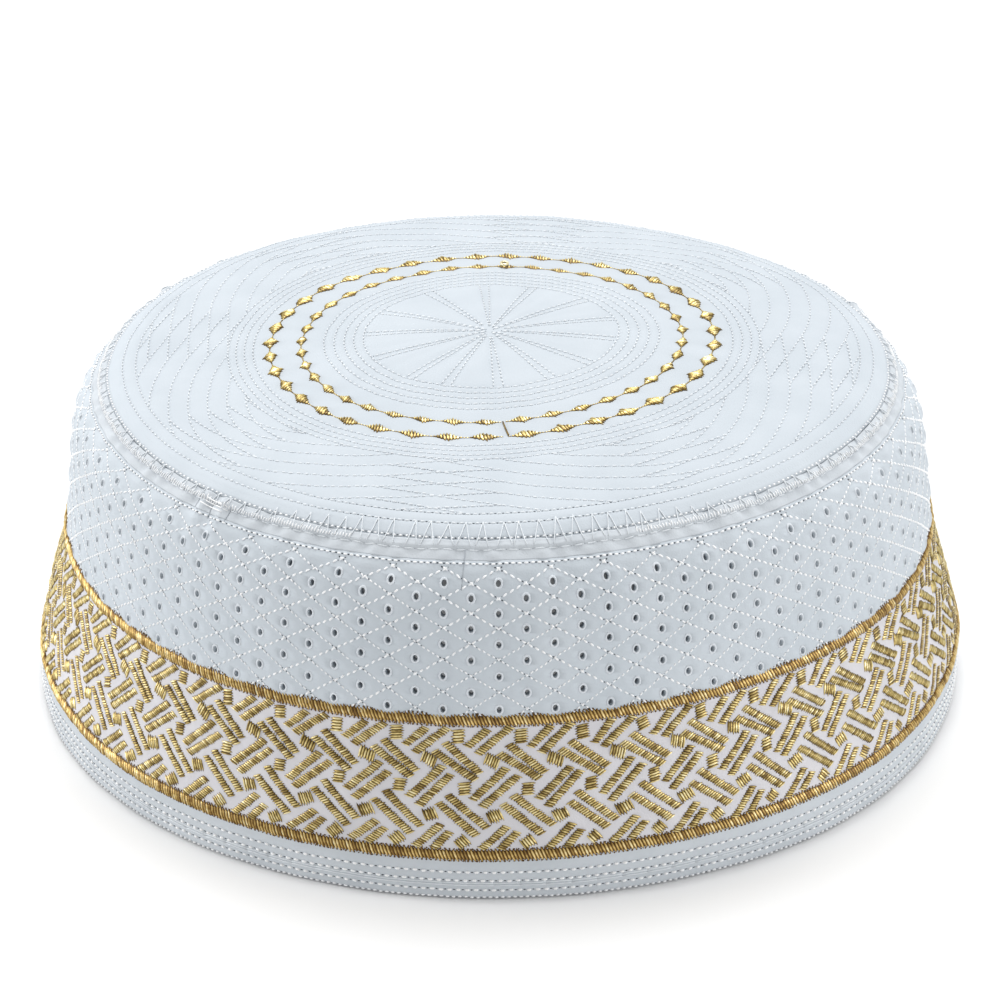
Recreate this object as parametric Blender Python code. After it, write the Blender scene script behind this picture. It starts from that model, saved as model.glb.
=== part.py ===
"""Prayer cap: a round quilted cloth cap with two gold borders and two gold chains on the crown.

Every piece of cloth is a shell that follows one side line of the cap, turned about the upright
axis, and is then pushed a little out of round so that it sags as soft cloth does.
Lengths are metres, +Z is up, and the front of the cap faces -Y.
"""
import math

import bmesh
import bpy
from mathutils import Vector
from mathutils.geometry import interpolate_bezier

# Driving sizes of the cap.
HEM_RADIUS = 0.0930
CAP_HEIGHT = 0.0740
CROWN_RADIUS = 0.0765
LOWER_BORDER_HEIGHT = 0.0097
UPPER_BORDER_HEIGHT = 0.0339
CHAIN_RADIUS = 0.0435
CHAIN_SPACING = 0.0067

# Cloth and cord sizes.
CLOTH_THICKNESS = 0.0018
HEM_THICKNESS = 0.0024
SEAM_THICKNESS = 0.0024
SEAM_WIDTH = 0.0052
PUCKER_DEPTH = 0.0002
BORDER_WIDTH = 0.0023
BORDER_RAISE = 0.0006
CHAIN_WIDTH = 0.0032
CHAIN_LINK_WIDTH = 0.0007
CHAIN_THICKNESS = 0.0007
PIECE_GAP = 0.0003

# Counts and hole sizes of the pierced side panel.
EYELET_COLUMNS = 52
EYELET_ROWS = 4
EYELET_WIDTH = 0.0015
EYELET_HEIGHT = 0.0017
EYELET_ROW_HEIGHT = 0.0022
EYELET_FIELD_TOP = 0.0045
EYELET_FIELD_BOTTOM = 0.0042
DIAMONDS_PER_CHAIN = 39

# How finely the rings are divided.
CROWN_STEPS = 60
WALL_STEPS = 72
SEAM_STEPS = 104
SPLINE_STEPS = 10

# The side line of the cap from the centre of the crown down to the hem.
# Columns: share of the crown radius, share of the flare from crown to hem, share of the cap height.
SIDE_LINE = (
    (0.000, 0.000, 1.0000),
    (0.261, 0.000, 0.9930),
    (0.481, 0.000, 0.9730),
    (0.729, 0.000, 0.9560),
    (0.935, 0.000, 0.9338),
    (1.000, 0.000, 0.8990),
    (1.000, 0.218, 0.8527),
    (1.000, 0.412, 0.7700),
    (1.000, 0.509, 0.6200),
    (1.000, 0.594, 0.4581),
    (1.000, 0.800, 0.2900),
    (1.000, 0.976, 0.1311),
    (1.000, 1.006, 0.0650),
    (1.000, 1.000, 0.0000),
)

# Out of round: waves round the cap, as shares of the radius.
# Columns: waves in a full turn, cosine and sine share at the hem, cosine and sine share at the top.
ROUND_WAVES = (
    (2, 0.0174, -0.0136, 0.0142, -0.0097),
    (3, 0.0153, 0.0113, 0.0093, 0.0050),
    (4, -0.0049, 0.0096, 0.0000, 0.0000),
    (5, -0.0042, 0.0003, 0.0000, 0.0000),
)

# Sag: how the cloth leans, read along the side line from the hem (0) over the rim (1) to the centre (2).
# Columns: place, rise to the right per metre, shift to the right as a share of the hem radius.
SAG = (
    (0.00, 0.0000, 0.0000),
    (0.13, 0.0090, 0.0020),
    (0.90, 0.0070, 0.0000),
    (1.07, 0.0200, 0.0000),
    (1.43, 0.0373, -0.0086),
    (2.00, 0.0462, -0.0086),
)

MATERIALS = {
    "white_cotton": ((0.80, 0.84, 0.90), 0.85, 0.0),
    "white_trim": ((0.84, 0.87, 0.92), 0.80, 0.0),
    "gold_thread": ((0.60, 0.40, 0.09), 0.38, 0.25),
}


def clear_scene():
    """Remove whatever the scene holds."""
    for thing in list(bpy.data.objects):
        bpy.data.objects.remove(thing, do_unlink=True)


def make_material(name):
    """Make one plain surface from its colour, roughness and metal share."""
    colour, roughness, metallic = MATERIALS[name]
    material = bpy.data.materials.new(name)
    material.use_nodes = True
    shader = material.node_tree.nodes["Principled BSDF"]
    shader.inputs["Base Color"].default_value = (*colour, 1.0)
    shader.inputs["Roughness"].default_value = roughness
    shader.inputs["Metallic"].default_value = metallic
    material.diffuse_color = (*colour, 1.0)
    return material


def between(table, place, column):
    """Read one column of a table at a place, on straight lines between its rows."""
    for low, high in zip(table, table[1:]):
        if place <= high[0]:
            share = max(0.0, (place - low[0]) / (high[0] - low[0]))
            return low[column] + (high[column] - low[column]) * share
    return table[-1][column]


def smooth_side_line():
    """Draw a smooth line through the side line's points; x is the radius and z the height."""
    flare = HEM_RADIUS - CROWN_RADIUS
    knots = [Vector((crown * CROWN_RADIUS + out * flare, 0.0, up * CAP_HEIGHT)) for crown, out, up in SIDE_LINE]
    line = []
    for i in range(len(knots) - 1):
        before = knots[i - 1] if i else Vector((-knots[1].x, 0.0, knots[1].z))
        after = knots[i + 2] if i + 2 < len(knots) else knots[-1]
        start_handle = knots[i] + (knots[i + 1] - before) / 6.0
        end_handle = knots[i + 1] - (after - knots[i]) / 6.0
        line += interpolate_bezier(knots[i], start_handle, end_handle, knots[i + 1], SPLINE_STEPS)[:-1]
    return line + [knots[-1]]


class SideLine:
    """The cap's side line, read by the distance run along it from the centre of the crown."""

    def __init__(self):
        self.points = smooth_side_line()
        self.runs = [0.0]
        for a, b in zip(self.points, self.points[1:]):
            self.runs.append(self.runs[-1] + (b - a).length)
        self.length = self.runs[-1]

    def point(self, run):
        """The point on the outside of the cloth."""
        rows = [(d, p.x, p.z) for d, p in zip(self.runs, self.points)]
        return Vector((between(rows, run, 1), 0.0, between(rows, run, 2)))

    def outward(self, run):
        """The direction straight out of the cloth."""
        reach = self.length / 100
        low = self.point(max(0.0, run - reach))
        high = self.point(min(self.length, run + reach))
        along = (high - low).normalized()
        return Vector((-along.z, 0.0, along.x))

    def lifted(self, run, lift):
        """A point above (or, with a negative lift, under) the outside of the cloth."""
        spot = self.point(run) + self.outward(run) * lift
        return Vector((max(0.0, spot.x), 0.0, max(0.0, spot.z)))

    def run_at_radius(self, radius):
        """The distance run where the line first reaches a radius."""
        rows = [(p.x, d) for d, p in zip(self.runs, self.points)]
        return between(rows, radius, 1)

    def run_at_height(self, height):
        """The distance run where the line comes down to a height."""
        rows = [(p.z, d) for d, p in zip(reversed(self.runs), reversed(self.points))]
        return between(rows, height, 1)


def evenly(start, end, parts):
    """Evenly spaced values from start to end, both taken in."""
    return [start + (end - start) * i / parts for i in range(parts + 1)]


def shell_section(side, runs, thickness, lift=0.0):
    """Closed section of a shell: down the outside, then back up the inside."""
    outside = [side.lifted(run, lift) for run in runs]
    inside = [side.lifted(run, -thickness) for run in reversed(runs)]
    return outside + inside


def spin_section(section, steps, closed=True):
    """Turn a section about the upright axis into one closed body."""
    bm = bmesh.new()
    corners = [bm.verts.new(p) for p in section]
    pairs = list(zip(corners, corners[1:]))
    if closed:
        pairs.append((corners[-1], corners[0]))
    edges = [bm.edges.new(pair) for pair in pairs]
    bmesh.ops.spin(bm, geom=corners + edges, cent=(0, 0, 0), axis=(0, 0, 1),
                   angle=math.tau, steps=steps, use_merge=True)
    bmesh.ops.remove_doubles(bm, verts=bm.verts, dist=1e-6)
    bmesh.ops.recalc_face_normals(bm, faces=bm.faces)
    return bm


def sagged(spot):
    """Move one point of a truly round cap to where the soft cloth has settled."""
    radius = math.hypot(spot.x, spot.y)
    angle = math.atan2(spot.y, spot.x)
    up = min(1.0, max(0.0, spot.z / (0.89 * CAP_HEIGHT)))
    swell = 1.0
    for waves, hem_cos, hem_sin, top_cos, top_sin in ROUND_WAVES:
        cosine = hem_cos * (1.0 - up) + top_cos * up
        sine = hem_sin * (1.0 - up) + top_sin * up
        swell += cosine * math.cos(waves * angle) + sine * math.sin(waves * angle)
    place = up
    if radius < CROWN_RADIUS and up >= 1.0:
        place = 2.0 - radius / CROWN_RADIUS
    rise = between(SAG, place, 1)
    shift = between(SAG, place, 2) * HEM_RADIUS
    return Vector((spot.x * swell + shift, spot.y * swell, spot.z + rise * spot.x))


def finish_piece(bm, name, material, smooth_angle=35.0):
    """Let the piece sag, put it in the scene and shade its round faces smooth."""
    for vertex in bm.verts:
        vertex.co = sagged(vertex.co)
    mesh = bpy.data.meshes.new(name)
    bm.to_mesh(mesh)
    bm.free()
    mesh.materials.append(material)
    mesh.shade_smooth()
    mesh.set_sharp_from_angle(angle=math.radians(smooth_angle))
    piece = bpy.data.objects.new(name, mesh)
    bpy.context.scene.collection.objects.link(piece)
    return piece


def make_crown(side, cotton):
    """The round quilted top: a low dome of even thickness."""
    edge = side.run_at_radius(CROWN_RADIUS) - PIECE_GAP / 2
    runs = [edge * share for share in (0.0, 0.16, 0.32, 0.48, 0.64, 0.80, 0.92, 1.0)]
    section = shell_section(side, runs, CLOTH_THICKNESS)
    section[-1].x = 0.0
    bm = spin_section(section, CROWN_STEPS, closed=False)
    return finish_piece(bm, "crown", cotton)


def make_crown_seam(side, trim):
    """The folded, overlocked seam round the crown, gathered into small puckers."""
    start = side.run_at_radius(CROWN_RADIUS) + PIECE_GAP / 2
    runs = evenly(start, start + SEAM_WIDTH - PIECE_GAP, 2)
    bm = spin_section(shell_section(side, runs, SEAM_THICKNESS), SEAM_STEPS)
    middle = side.point(start + SEAM_WIDTH / 2).x - SEAM_THICKNESS / 2
    for vertex in bm.verts:
        radius = math.hypot(vertex.co.x, vertex.co.y)
        turn = round(math.atan2(vertex.co.y, vertex.co.x) / math.tau * SEAM_STEPS)
        if radius > middle and turn % 2:
            shrink = 1.0 - PUCKER_DEPTH / radius
            vertex.co.x *= shrink
            vertex.co.y *= shrink
    return finish_piece(bm, "crown_seam", trim)


def eyelet_runs(side):
    """Where the panel is divided, so that each row of eyelets has its own row of faces."""
    top = panel_top(side)
    bottom = side.run_at_height(UPPER_BORDER_HEIGHT) - BORDER_WIDTH / 2 - PIECE_GAP
    first = top + EYELET_FIELD_TOP
    last = bottom - EYELET_FIELD_BOTTOM
    runs = [top]
    for middle in evenly(first, last, EYELET_ROWS - 1):
        runs += [middle - EYELET_ROW_HEIGHT / 2, middle + EYELET_ROW_HEIGHT / 2]
    return runs + [bottom]


def panel_top(side):
    """The distance run where the side panel starts under the crown seam."""
    return side.run_at_radius(CROWN_RADIUS) + PIECE_GAP / 2 + SEAM_WIDTH


def shrink_face(face, width, height):
    """Draw a four-cornered face in about its centre to a given width and height."""
    centre = face.calc_center_median()
    across = Vector((-centre.y, centre.x, 0.0)).normalized()
    for vertex in face.verts:
        offset = vertex.co - centre
        sideways = offset.dot(across)
        upright = offset - across * sideways
        vertex.co = centre + across * math.copysign(width / 2, sideways) + upright.normalized() * (height / 2)


def cut_eyelet(bm, pair):
    """Open one eyelet through both skins and close the cut edges between them."""
    rims = []
    for face in pair:
        bmesh.ops.inset_individual(bm, faces=[face], thickness=EYELET_WIDTH / 8)
        shrink_face(face, EYELET_WIDTH, EYELET_HEIGHT)
        rims += list(face.edges)
    bmesh.ops.delete(bm, geom=list(pair), context="FACES_ONLY")
    bmesh.ops.bridge_loops(bm, edges=rims)


def make_side_panel(side, cotton):
    """The quilted wall between the crown seam and the upper border, pierced by staggered eyelets."""
    runs = eyelet_runs(side)
    bm = spin_section(shell_section(side, runs, CLOTH_THICKNESS), EYELET_COLUMNS)
    rows = []
    for row in range(EYELET_ROWS):
        run = (runs[1 + 2 * row] + runs[2 + 2 * row]) / 2
        rows.append((side.lifted(run, 0.0), side.lifted(run, -CLOTH_THICKNESS)))
    skins = {}
    for face in bm.faces:
        centre = face.calc_center_median()
        radius = math.hypot(centre.x, centre.y)
        column = math.floor(math.atan2(centre.y, centre.x) / math.tau * EYELET_COLUMNS) % EYELET_COLUMNS
        for row, (outer, inner) in enumerate(rows):
            near_outer = math.hypot(radius - outer.x, centre.z - outer.z) < EYELET_ROW_HEIGHT / 3
            near_inner = math.hypot(radius - inner.x, centre.z - inner.z) < EYELET_ROW_HEIGHT / 3
            if (near_outer or near_inner) and column % 2 == row % 2:
                skins.setdefault((row, column), []).append(face)
    for pair in skins.values():
        cut_eyelet(bm, pair)
    bmesh.ops.recalc_face_normals(bm, faces=bm.faces)
    return finish_piece(bm, "side_panel", cotton)


def make_border(side, name, height, gold):
    """A raised band of gold satin stitch set between two pieces of cloth."""
    middle = side.run_at_height(height)
    half = BORDER_WIDTH / 2
    outside = [side.lifted(middle - half, 0.0),
               side.lifted(middle - half / 2, BORDER_RAISE),
               side.lifted(middle + half / 2, BORDER_RAISE),
               side.lifted(middle + half, 0.0)]
    inside = [side.lifted(middle + half, -CLOTH_THICKNESS), side.lifted(middle - half, -CLOTH_THICKNESS)]
    return finish_piece(spin_section(outside + inside, WALL_STEPS), name, gold)


def make_band_panel(side, cotton):
    """The plain cloth between the two gold borders, which carries the woven bars."""
    reach = BORDER_WIDTH / 2 + PIECE_GAP
    top = side.run_at_height(UPPER_BORDER_HEIGHT) + reach
    bottom = side.run_at_height(LOWER_BORDER_HEIGHT) - reach
    section = shell_section(side, evenly(top, bottom, 2), CLOTH_THICKNESS)
    return finish_piece(spin_section(section, WALL_STEPS), "band_panel", cotton)


def make_hem(side, trim):
    """The folded hem the cap stands on, with a flat underside."""
    top = side.run_at_height(LOWER_BORDER_HEIGHT) + BORDER_WIDTH / 2 + PIECE_GAP
    bottom = side.length
    runs = [top, (top + bottom) / 2, bottom]
    section = shell_section(side, runs, HEM_THICKNESS)
    floor = [p for p in section if p.z < PIECE_GAP]
    for point in floor:
        point.z = 0.0
    return finish_piece(spin_section(section, WALL_STEPS), "hem", trim)


def make_chain(side, name, radius, gold):
    """A ring of gold diamonds joined tip to tip, laid on the crown."""
    middle = side.run_at_radius(radius)
    half = CHAIN_WIDTH / 2
    low = PIECE_GAP
    high = PIECE_GAP + CHAIN_THICKNESS
    section = [side.lifted(middle - half, low), side.lifted(middle - half / 2, high),
               side.lifted(middle + half / 2, high), side.lifted(middle + half, low)]
    steps = 2 * DIAMONDS_PER_CHAIN
    bm = spin_section(section, steps)
    for vertex in bm.verts:
        turn = round(math.atan2(vertex.co.y, vertex.co.x) / math.tau * steps)
        if turn % 2:
            distance = math.hypot(vertex.co.x, vertex.co.y)
            narrowed = radius + (distance - radius) * CHAIN_LINK_WIDTH / CHAIN_WIDTH
            vertex.co.x *= narrowed / distance
            vertex.co.y *= narrowed / distance
    return finish_piece(bm, name, gold, smooth_angle=20.0)


def centre_on_floor(pieces):
    """Slide all the pieces together so that the middle of their box is over the origin."""
    spots = [vertex.co for piece in pieces for vertex in piece.data.vertices]
    low = [min(spot[axis] for spot in spots) for axis in range(3)]
    high = [max(spot[axis] for spot in spots) for axis in range(3)]
    slide = Vector((-(low[0] + high[0]) / 2, -(low[1] + high[1]) / 2, -low[2]))
    for spot in spots:
        spot += slide
    print("slide", [round(value, 5) for value in slide])
    print("size", [round(b - a, 5) for a, b in zip(low, high)])


def build():
    """Make every piece of the cap."""
    clear_scene()
    cotton, trim, gold = (make_material(name) for name in MATERIALS)
    side = SideLine()
    pieces = [
        make_crown(side, cotton),
        make_crown_seam(side, trim),
        make_side_panel(side, cotton),
        make_border(side, "upper_border", UPPER_BORDER_HEIGHT, gold),
        make_band_panel(side, cotton),
        make_border(side, "lower_border", LOWER_BORDER_HEIGHT, gold),
        make_hem(side, trim),
        make_chain(side, "crown_chain_outer", CHAIN_RADIUS, gold),
        make_chain(side, "crown_chain_inner", CHAIN_RADIUS - CHAIN_SPACING, gold),
    ]
    centre_on_floor(pieces)
    for piece in pieces:
        triangles = sum(len(face.vertices) - 2 for face in piece.data.polygons)
        print(piece.name, triangles)


build()
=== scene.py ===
# %% [markdown]
# # A quilted prayer cap
# The cap is a round crown and four rings of cloth, sewn together. White thread quilts the cloth,
# and gold thread draws two borders, a woven band between them and two chains on the crown.
#
# Thread on a curved cap could be drawn as a picture on the cloth, or modelled stitch by stitch in
# place. A picture stays flat when light grazes it, and stitches placed by hand in the round never
# lie quite on the cloth. Embroiderers work while the cloth lies flat, and so does this lesson:
# every piece is first laid out flat and is then wrapped on the cap. Turn goes round the cap, run
# goes down its side line from the centre of the crown to the hem, and lift is the height above
# the cloth.

# %% Load the frame
import math

import bmesh
import bpy
import numpy as np
from mathutils import Matrix, Vector
from mathutils.geometry import interpolate_bezier


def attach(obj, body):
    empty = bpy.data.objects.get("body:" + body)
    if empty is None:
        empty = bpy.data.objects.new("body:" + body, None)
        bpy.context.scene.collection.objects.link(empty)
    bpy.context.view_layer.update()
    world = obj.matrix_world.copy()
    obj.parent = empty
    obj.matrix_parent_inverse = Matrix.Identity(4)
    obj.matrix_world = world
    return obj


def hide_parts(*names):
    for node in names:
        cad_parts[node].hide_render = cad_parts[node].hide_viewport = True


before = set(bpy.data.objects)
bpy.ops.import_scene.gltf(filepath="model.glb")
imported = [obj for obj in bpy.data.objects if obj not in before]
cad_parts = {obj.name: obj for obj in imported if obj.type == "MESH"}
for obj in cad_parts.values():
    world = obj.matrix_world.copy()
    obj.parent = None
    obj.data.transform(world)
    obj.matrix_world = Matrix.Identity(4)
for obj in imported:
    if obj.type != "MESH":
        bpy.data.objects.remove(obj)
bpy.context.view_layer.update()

# %% [markdown]
# ## Sizes
# A cap is cut to a head: the hem's radius follows from the head's girth, and the rest follows from
# how tall the cap is and how wide its crown. The sizes could be measured on the loaded solids, but
# a mesh only tells where its corners are, not why. So the few sizes that its maker chose stand
# here again in metres, and everything below is worked out from them, which keeps the thread work
# on the cloth.

# %% Driving sizes
MM = 0.001
HEM_RADIUS = 93.0 * MM
CAP_HEIGHT = 74.0 * MM
CROWN_RADIUS = 76.5 * MM
LOWER_BORDER_HEIGHT = 9.7 * MM
UPPER_BORDER_HEIGHT = 33.9 * MM
CLOTH_THICKNESS = 1.6 * MM
HEM_THICKNESS = 2.2 * MM
CLOTH_GAP = 0.1 * MM
SLIDE_RIGHT = -1.20 * MM
SLIDE_BACK = 0.57 * MM
SPLINE_STEPS = 10
print("hem %.1f mm across, cap %.1f mm high" % (2 * HEM_RADIUS / MM, CAP_HEIGHT / MM))

# Columns: share of the crown radius, share of the flare from crown to hem, share of the cap height.
SIDE_LINE = (
    (0.000, 0.000, 1.0000),
    (0.261, 0.000, 0.9930),
    (0.481, 0.000, 0.9730),
    (0.729, 0.000, 0.9560),
    (0.935, 0.000, 0.9338),
    (1.000, 0.000, 0.8990),
    (1.000, 0.218, 0.8527),
    (1.000, 0.412, 0.7700),
    (1.000, 0.509, 0.6200),
    (1.000, 0.594, 0.4581),
    (1.000, 0.800, 0.2900),
    (1.000, 0.976, 0.1311),
    (1.000, 1.006, 0.0650),
    (1.000, 1.000, 0.0000),
)

# Columns: waves in a full turn, cosine and sine share at the hem, cosine and sine share at the top.
ROUND_WAVES = (
    (2, 0.0174, -0.0136, 0.0142, -0.0097),
    (3, 0.0153, 0.0113, 0.0093, 0.0050),
    (4, -0.0049, 0.0096, 0.0000, 0.0000),
    (5, -0.0042, 0.0003, 0.0000, 0.0000),
)

# How far the crown leans and sags from place to place.
# Columns: place from hem (0) over rim (1) to centre (2), rise to the right, shift as a share of the
# hem radius.
SAG = (
    (0.00, 0.0000, 0.0000),
    (0.13, 0.0090, 0.0020),
    (0.90, 0.0070, 0.0000),
    (1.07, 0.0200, 0.0000),
    (1.43, 0.0373, -0.0086),
    (2.00, 0.0462, -0.0086),
)

# %% [markdown]
# ## The side line
# Seen from the side, the crown is almost flat, turns over the seam and then flares out to the hem.
# This outline could be an editable Bezier curve, or a formula. A formula would need a new one for
# each bend, and a curve object would have to be read back. Here a smooth curve is led through a
# few points, and its length along the cloth is kept with it, because stitches are spaced along
# the cloth and not along its height. Soft cloth never stays truly round, so each place is then
# moved a little by slow waves round the cap and by a gentle lean of the crown.

# %% Draw the side line
def smooth_side_line():
    """Points (radius, height) along a smooth line through the side line's knots."""
    flare = HEM_RADIUS - CROWN_RADIUS
    knots = [Vector((crown * CROWN_RADIUS + out * flare, 0.0, up * CAP_HEIGHT))
             for crown, out, up in SIDE_LINE]
    line = []
    for i in range(len(knots) - 1):
        before = knots[i - 1] if i else Vector((-knots[1].x, 0.0, knots[1].z))
        after = knots[i + 2] if i + 2 < len(knots) else knots[-1]
        start_handle = knots[i] + (knots[i + 1] - before) / 6.0
        end_handle = knots[i + 1] - (after - knots[i]) / 6.0
        line += interpolate_bezier(knots[i], start_handle, end_handle, knots[i + 1], SPLINE_STEPS)[:-1]
    return np.array([(p.x, p.z) for p in line + [knots[-1]]])


LINE = smooth_side_line()
RUNS = np.concatenate([[0.0], np.cumsum(np.hypot(*np.diff(LINE, axis=0).T))])
FULL_RUN = float(RUNS[-1])
CROWN_POINTS = 5 * SPLINE_STEPS + 1


def radius_at(run):
    """Radius of the cloth at a run."""
    return np.interp(run, RUNS, LINE[:, 0])


def run_at_radius(radius):
    """Run where the crown reaches a radius."""
    return np.interp(radius, LINE[:CROWN_POINTS, 0], RUNS[:CROWN_POINTS])


def run_at_height(height):
    """Run where the wall comes down to a height."""
    return float(np.interp(height, LINE[::-1, 1], RUNS[::-1]))


SEAM_RUN = float(run_at_radius(CROWN_RADIUS))
UPPER_BORDER_RUN = run_at_height(UPPER_BORDER_HEIGHT)
LOWER_BORDER_RUN = run_at_height(LOWER_BORDER_HEIGHT)
print("runs: seam %.4f, upper border %.4f, lower border %.4f, hem %.4f"
      % (SEAM_RUN, UPPER_BORDER_RUN, LOWER_BORDER_RUN, FULL_RUN))


# %% Wrap flat places on the cap
# Share of the cap's height at which the wall ends and the crown begins.
WALL_SHARE = 0.89


def sagged(x, y, z):
    """Move places of a truly round cap to where the soft cloth has settled."""
    radius = np.hypot(x, y)
    angle = np.arctan2(y, x)
    up = np.clip(z / (WALL_SHARE * CAP_HEIGHT), 0.0, 1.0)
    swell = np.ones_like(x)
    for waves, hem_cos, hem_sin, top_cos, top_sin in ROUND_WAVES:
        swell += (hem_cos * (1 - up) + top_cos * up) * np.cos(waves * angle)
        swell += (hem_sin * (1 - up) + top_sin * up) * np.sin(waves * angle)
    on_crown = (radius < CROWN_RADIUS) & (up >= 1.0)
    place = np.where(on_crown, 2.0 - radius / CROWN_RADIUS, up)
    table = np.array(SAG)
    rise = np.interp(place, table[:, 0], table[:, 1])
    shift = np.interp(place, table[:, 0], table[:, 2]) * HEM_RADIUS
    return x * swell + shift, y * swell, z + rise * x


def slack(turn, run):
    """Long soft waves of the cloth, a fraction of a millimetre high."""
    wide = np.sin(5 * turn + run / (11 * MM)) * np.sin(run / (17 * MM) - 2 * turn)
    narrow = np.sin(23 * turn - run / (5 * MM)) * np.sin(9 * turn + run / (7 * MM))
    return MM * np.clip(run / (20 * MM), 0.0, 1.0) * (0.16 * wide + 0.09 * narrow)


def on_cap(turn, run, lift):
    """World places, as rows of x, y and z, for arrays of turn, run and lift."""
    turn, run, lift = np.broadcast_arrays(turn, run, lift)
    lift = lift + slack(turn, run)
    reach = FULL_RUN / 100
    low = np.clip(run - reach, 0, FULL_RUN)
    high = np.clip(run + reach, 0, FULL_RUN)
    along_r = radius_at(high) - radius_at(low)
    along_z = np.interp(high, RUNS, LINE[:, 1]) - np.interp(low, RUNS, LINE[:, 1])
    length = np.hypot(along_r, along_z)
    radius = radius_at(run) - lift * along_z / length
    height = np.interp(run, RUNS, LINE[:, 1]) + lift * along_r / length
    x, y, z = sagged(radius * np.cos(turn), radius * np.sin(turn), height)
    return np.stack([x + SLIDE_RIGHT, y + SLIDE_BACK, z], axis=-1)


# %% [markdown]
# ## Sheets of cloth
# Each ring of the cap is a strip of cotton with an outer side, which the quilting shapes, and an
# inner side, which lies smooth against the head. A cloth simulation could settle it, but this
# cloth is stiff with stitching and hardly moves, and the relief of its seams is finer than a
# simulation can hold. So a sheet starts as one of Blender's grids, whose corners are read as turn
# and run. The corners are lifted by a relief and wrapped on the cap. The Solidify modifier could
# add the inner side, but it would push every groove through to the inside. Extruding the faces
# and laying the new corners on a smooth inner surface keeps the inside plain, as it is on the cap.

# %% Sheets of cloth
def add_object(name, mesh, material, replaces=()):
    """Put a finished mesh in the scene, shade it smooth and let it ride on the cap."""
    mesh.materials.append(material)
    mesh.shade_smooth()
    piece = bpy.data.objects.new(name, mesh)
    bpy.context.scene.collection.objects.link(piece)
    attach(piece, "root")
    if replaces:
        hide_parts(*replaces)
    print("%-28s %7d triangles" % (name, sum(len(f.vertices) - 2 for f in mesh.polygons)))
    return piece


def add_inside(bm, number, inner_places):
    """Give a sheet its inner side, joined to the outer one along every edge. Number: a corner's place."""
    copied = bmesh.ops.extrude_face_region(bm, geom=bm.faces[:], use_keep_orig=True)["geom"]
    for part in copied:
        if isinstance(part, bmesh.types.BMVert):
            part.co = inner_places[part[number]]
    bmesh.ops.recalc_face_normals(bm, faces=bm.faces)


def cloth_sheet(name, runs, turns, relief, thickness, material, replaces, pierce=None):
    """One ring or disc of cloth: a row of corners at each run, relief above it and a smooth inside."""
    bm = bmesh.new()
    bmesh.ops.create_grid(bm, x_segments=turns, y_segments=len(runs) - 1, size=0.5)
    flat = np.array([v.co[:2] for v in bm.verts]) + 0.5
    turn = (flat[:, 0] - 0.5) * math.tau
    run = np.interp(flat[:, 1], np.linspace(0.0, 1.0, len(runs)), runs)
    holes = []
    if pierce:
        turn, run, holes = pierce(turn, run)
    number = bm.verts.layers.int.new("number")
    for i, (vertex, place) in enumerate(zip(bm.verts, on_cap(turn, run, relief(turn, run)))):
        vertex.co = place
        vertex[number] = i
    bm.verts.ensure_lookup_table()
    bmesh.ops.delete(bm, geom=[bm.verts[i] for i in holes], context="VERTS")
    bmesh.ops.remove_doubles(bm, verts=bm.verts, dist=0.002 * MM)
    add_inside(bm, number, on_cap(turn, run, -thickness))
    mesh = bpy.data.meshes.new(name)
    bm.to_mesh(mesh)
    bm.free()
    return add_object(name, mesh, material, replaces)


# %% [markdown]
# ## Stitches
# A running stitch is a short length of thread that comes up through one needle hole and goes down
# through the next. Between two stitches only the hole shows, with a little shadow in it; here the
# hole is not cut, and its shade is painted as a low dark cone on the cloth. Each stitch could be a
# curve with a bevel, or an instance set out by geometry nodes. There are many thousands of them, so
# a stitch here is one small bead of few faces, copied by its corners, and all copies of a row are
# joined into one mesh, which also keeps them wrapped exactly on the cloth. Machine sewing is even
# but never perfect, so lengths and headings vary a little.

# %% Small shapes for thread
MOST_CORNERS = 5


def taken(bm):
    """Corners and faces of a small mesh, ready to be copied many times."""
    corners = np.array([v.co for v in bm.verts])
    faces = np.array([[v.index for v in f.verts] + [-1] * (MOST_CORNERS - len(f.verts)) for f in bm.faces])
    bm.free()
    return corners, faces


def bead():
    """A stitch: a small round bead of unit size with its long side along x."""
    bm = bmesh.new()
    bmesh.ops.create_uvsphere(bm, u_segments=5, v_segments=3, radius=0.5)
    bmesh.ops.rotate(bm, verts=bm.verts, matrix=Matrix.Rotation(math.pi / 2, 3, "Y"))
    return taken(bm)


def dimple():
    """A needle hole's painted shade: a low dark cone of unit size with its point up."""
    bm = bmesh.new()
    bmesh.ops.create_cone(bm, cap_ends=True, segments=5, radius1=0.5, radius2=0.0, depth=1.0)
    return taken(bm)


def loose_thread():
    """A length of thread: a thin rod of unit size along x, cut in four so that it can bend."""
    bm = bmesh.new()
    bmesh.ops.create_cone(bm, cap_ends=True, segments=5, radius1=0.5, radius2=0.5, depth=1.0)
    bmesh.ops.rotate(bm, verts=bm.verts, matrix=Matrix.Rotation(math.pi / 2, 3, "Y"))
    for cut in (-0.25, 0.0, 0.25):
        bmesh.ops.bisect_plane(bm, geom=bm.verts[:] + bm.edges[:] + bm.faces[:], plane_co=(cut, 0, 0),
                               plane_no=(1, 0, 0))
    bm.verts.index_update()
    return taken(bm)


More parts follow.
